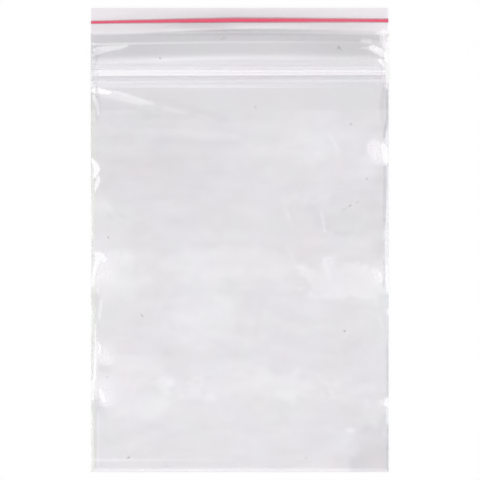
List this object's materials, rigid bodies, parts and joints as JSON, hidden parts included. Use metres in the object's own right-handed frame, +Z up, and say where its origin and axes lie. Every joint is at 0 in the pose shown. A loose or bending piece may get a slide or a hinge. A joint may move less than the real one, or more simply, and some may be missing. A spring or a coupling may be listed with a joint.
{
  "type": "zipper bag",
  "caption": "Empty flat bag of clear film with welded sides, a folded bottom, offset lips with a red line, and a press-to-close rib-and-channel zipper.",
  "frame": {"origin": "under the middle of the bag, on the surface that it lies on", "axes": "+X across the bag, +Y from the bottom fold to the mouth, +Z up through the front panel; the back panel with the taller lip is underneath"},
  "size_m": [0.0762, 0.1186, 0.0015],
  "materials": {
    "clear_film": "clear low-density polyethylene film, glossy and slightly hazy",
    "zipper_plastic": "milky translucent polyethylene, glossy",
    "red_line": "pinkish red plastic bead, slightly translucent"
  },
  "bodies": {
    "root": {"bag_film": "clear_film", "zipper_channel": "zipper_plastic", "zipper_rib": "zipper_plastic", "lip_line": "red_line"}
  },
  "joints": []
}
